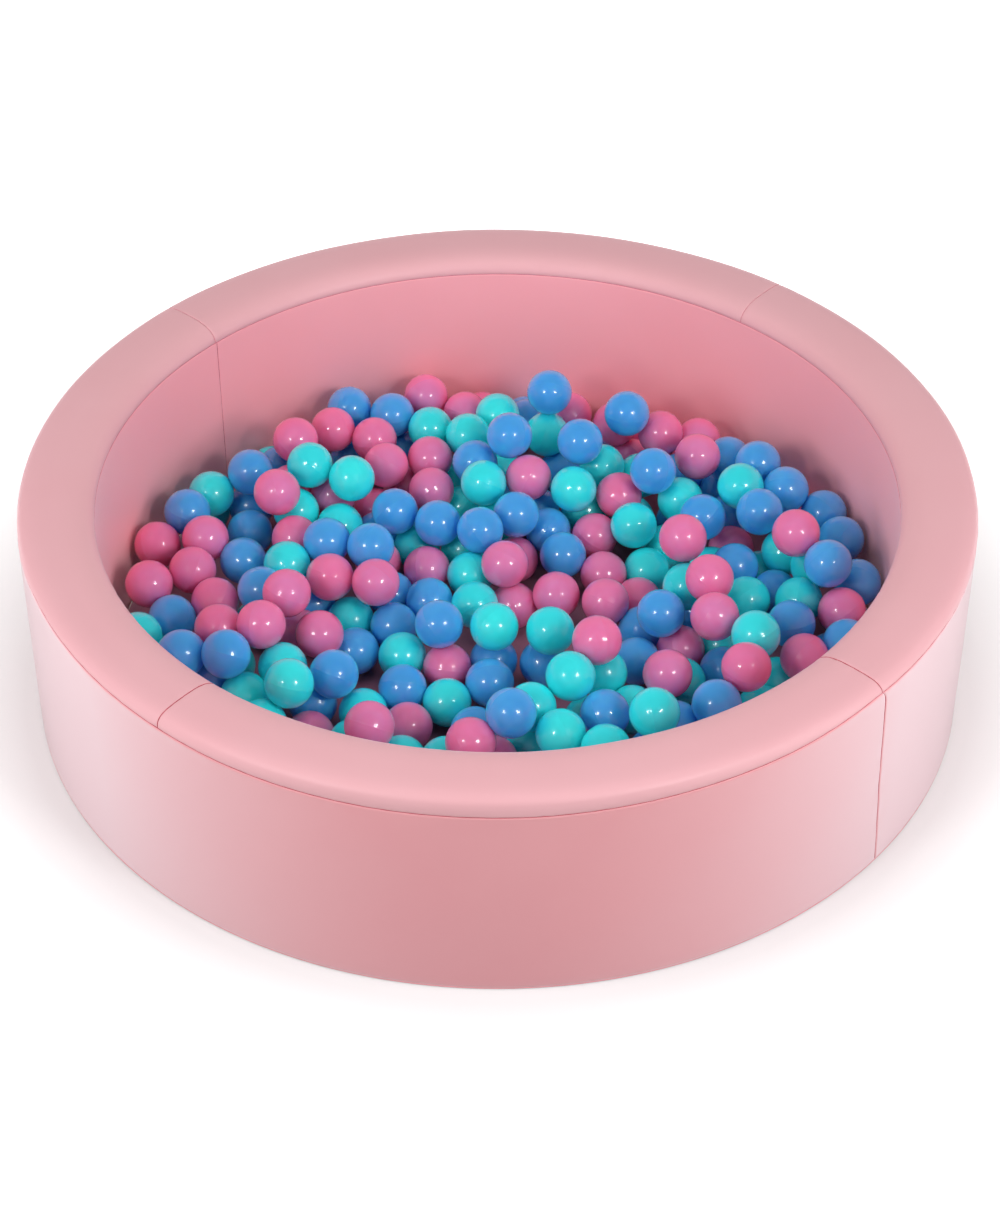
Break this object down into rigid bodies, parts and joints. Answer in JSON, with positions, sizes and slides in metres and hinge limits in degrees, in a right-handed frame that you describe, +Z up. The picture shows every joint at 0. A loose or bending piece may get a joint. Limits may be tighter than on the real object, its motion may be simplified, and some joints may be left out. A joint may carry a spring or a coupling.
{
  "type": "ball pit",
  "caption": "Round foam ball pit with a pink satin cover sewn over a thick padded ring, a padded floor, a zip low on the back and a shallow fill of pink, blue and aqua play balls.",
  "frame": {"origin": "centre of the underside, on the floor", "axes": "+Z is up along the ring's axis, and the picture was taken from the -Y side"},
  "size_m": [1.1976, 1.1976, 0.298],
  "materials": {
    "cover_pink": "satin",
    "cover_under": "matte",
    "foam": "matte",
    "zip_fabric": "matte",
    "zip_metal": "satin",
    "ball_pink": "gloss",
    "ball_blue": "gloss",
    "ball_aqua": "gloss"
  },
  "bodies": {
    "pit": {"foam_wall_1": "foam", "foam_wall_2": "foam", "foam_wall_3": "foam", "foam_wall_4": "foam", "cover_top_1": "cover_pink", "cover_top_2": "cover_pink", "cover_top_3": "cover_pink", "cover_top_4": "cover_pink", "cover_outer_wall": "cover_pink", "cover_inner_wall": "cover_pink", "cover_base": "cover_under", "mat_cover_bottom": "cover_under", "mat_foam": "foam", "mat_cover_top": "cover_under", "zip_tape_upper": "zip_fabric", "zip_tape_lower": "zip_fabric", "zip_stop_1": "zip_metal", "zip_stop_2": "zip_metal", "balls_01": "ball_aqua", "balls_02": "ball_aqua", "balls_03": "ball_aqua", "balls_04": "ball_pink", "balls_05": "ball_blue", "balls_06": "ball_blue", "balls_07": "ball_aqua", "balls_08": "ball_blue", "balls_09": "ball_blue", "balls_10": "ball_pink", "balls_11": "ball_aqua", "balls_12": "ball_blue", "balls_13": "ball_pink", "balls_14": "ball_aqua", "balls_15": "ball_blue", "balls_16": "ball_aqua", "balls_17": "ball_aqua", "balls_18": "ball_pink"},
    "zip_slider": {"zip_slider": "zip_metal"},
    "zip_tab": {"zip_tab": "zip_metal"},
    "loose_ball_01": {"loose_ball_01": "ball_blue"},
    "loose_ball_02": {"loose_ball_02": "ball_blue"},
    "loose_ball_03": {"loose_ball_03": "ball_blue"},
    "loose_ball_04": {"loose_ball_04": "ball_pink"},
    "loose_ball_05": {"loose_ball_05": "ball_aqua"},
    "loose_ball_06": {"loose_ball_06": "ball_pink"},
    "loose_ball_07": {"loose_ball_07": "ball_blue"},
    "loose_ball_08": {"loose_ball_08": "ball_blue"},
    "loose_ball_09": {"loose_ball_09": "ball_blue"},
    "loose_ball_10": {"loose_ball_10": "ball_blue"},
    "loose_ball_11": {"loose_ball_11": "ball_pink"},
    "loose_ball_12": {"loose_ball_12": "ball_pink"},
    "loose_ball_13": {"loose_ball_13": "ball_pink"},
    "loose_ball_14": {"loose_ball_14": "ball_blue"},
    "loose_ball_15": {"loose_ball_15": "ball_blue"},
    "loose_ball_16": {"loose_ball_16": "ball_aqua"},
    "loose_ball_17": {"loose_ball_17": "ball_blue"},
    "loose_ball_18": {"loose_ball_18": "ball_pink"},
    "loose_ball_19": {"loose_ball_19": "ball_aqua"},
    "loose_ball_20": {"loose_ball_20": "ball_aqua"}
  },
  "joints": [
    {"name": "zip_run", "type": "hinge", "parent": "pit", "child": "zip_slider", "pos_m": [0, 0, 0], "axis": [0, 0, 1], "range_deg": [0, 71.6]},
    {"name": "zip_tab_swing", "type": "hinge", "parent": "zip_slider", "child": "zip_tab", "pos_m": [0.3156, 0.50523, 0.0165], "axis": [0, 0, -1], "range_deg": [0, 120]},
    {"name": "loose_ball_01_lift", "type": "slide", "parent": "pit", "child": "loose_ball_01", "axis": [0, 0, 1], "range_m": [0, 0.3]},
    {"name": "loose_ball_02_lift", "type": "slide", "parent": "pit", "child": "loose_ball_02", "axis": [0, 0, 1], "range_m": [0, 0.3]},
    {"name": "loose_ball_03_lift", "type": "slide", "parent": "pit", "child": "loose_ball_03", "axis": [0, 0, 1], "range_m": [0, 0.3]},
    {"name": "loose_ball_04_lift", "type": "slide", "parent": "pit", "child": "loose_ball_04", "axis": [0, 0, 1], "range_m": [0, 0.3]},
    {"name": "loose_ball_05_lift", "type": "slide", "parent": "pit", "child": "loose_ball_05", "axis": [0, 0, 1], "range_m": [0, 0.3]},
    {"name": "loose_ball_06_lift", "type": "slide", "parent": "pit", "child": "loose_ball_06", "axis": [0, 0, 1], "range_m": [0, 0.3]},
    {"name": "loose_ball_07_lift", "type": "slide", "parent": "pit", "child": "loose_ball_07", "axis": [0, 0, 1], "range_m": [0, 0.3]},
    {"name": "loose_ball_08_lift", "type": "slide", "parent": "pit", "child": "loose_ball_08", "axis": [0, 0, 1], "range_m": [0, 0.3]},
    {"name": "loose_ball_09_lift", "type": "slide", "parent": "pit", "child": "loose_ball_09", "axis": [0, 0, 1], "range_m": [0, 0.3]},
    {"name": "loose_ball_10_lift", "type": "slide", "parent": "pit", "child": "loose_ball_10", "axis": [0, 0, 1], "range_m": [0, 0.3]},
    {"name": "loose_ball_11_lift", "type": "slide", "parent": "pit", "child": "loose_ball_11", "axis": [0, 0, 1], "range_m": [0, 0.3]},
    {"name": "loose_ball_12_lift", "type": "slide", "parent": "pit", "child": "loose_ball_12", "axis": [0, 0, 1], "range_m": [0, 0.3]},
    {"name": "loose_ball_13_lift", "type": "slide", "parent": "pit", "child": "loose_ball_13", "axis": [0, 0, 1], "range_m": [0, 0.3]},
    {"name": "loose_ball_14_lift", "type": "slide", "parent": "pit", "child": "loose_ball_14", "axis": [0, 0, 1], "range_m": [0, 0.3]},
    {"name": "loose_ball_15_lift", "type": "slide", "parent": "pit", "child": "loose_ball_15", "axis": [0, 0, 1], "range_m": [0, 0.3]},
    {"name": "loose_ball_16_lift", "type": "slide", "parent": "pit", "child": "loose_ball_16", "axis": [0, 0, 1], "range_m": [0, 0.3]},
    {"name": "loose_ball_17_lift", "type": "slide", "parent": "pit", "child": "loose_ball_17", "axis": [0, 0, 1], "range_m": [0, 0.3]},
    {"name": "loose_ball_18_lift", "type": "slide", "parent": "pit", "child": "loose_ball_18", "axis": [0, 0, 1], "range_m": [0, 0.3]},
    {"name": "loose_ball_19_lift", "type": "slide", "parent": "pit", "child": "loose_ball_19", "axis": [0, 0, 1], "range_m": [0, 0.3]},
    {"name": "loose_ball_20_lift", "type": "slide", "parent": "pit", "child": "loose_ball_20", "axis": [0, 0, 1], "range_m": [0, 0.3]}
  ]
}
